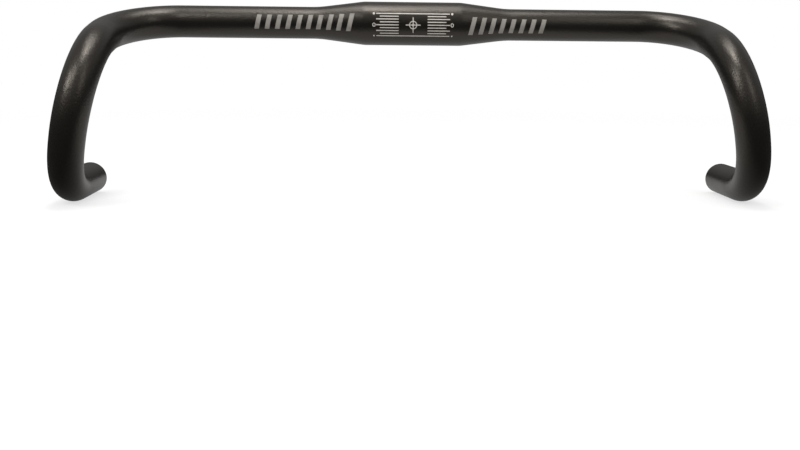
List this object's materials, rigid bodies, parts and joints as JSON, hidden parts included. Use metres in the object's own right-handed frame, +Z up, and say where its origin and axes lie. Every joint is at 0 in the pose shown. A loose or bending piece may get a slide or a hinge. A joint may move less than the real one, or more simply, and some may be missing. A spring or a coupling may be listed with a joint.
{
  "type": "randonneur handlebar",
  "caption": "Satin black drop handlebar bent from aluminium tube, with a wide clamp zone, straight tops, sloping ramps, round hooks and level drops that flare outwards.",
  "frame": {"origin": "centre of the clamp zone, on the tube's axis", "axes": "+X along the tops to the bar's own right as seen from the front, -Y forwards over the hooks, +Z up with the drops level"},
  "size_m": [0.5218, 0.1215, 0.1448],
  "materials": {
    "black_aluminium": "satin black coating"
  },
  "bodies": {
    "root": {"handlebar": "black_aluminium"}
  },
  "joints": []
}
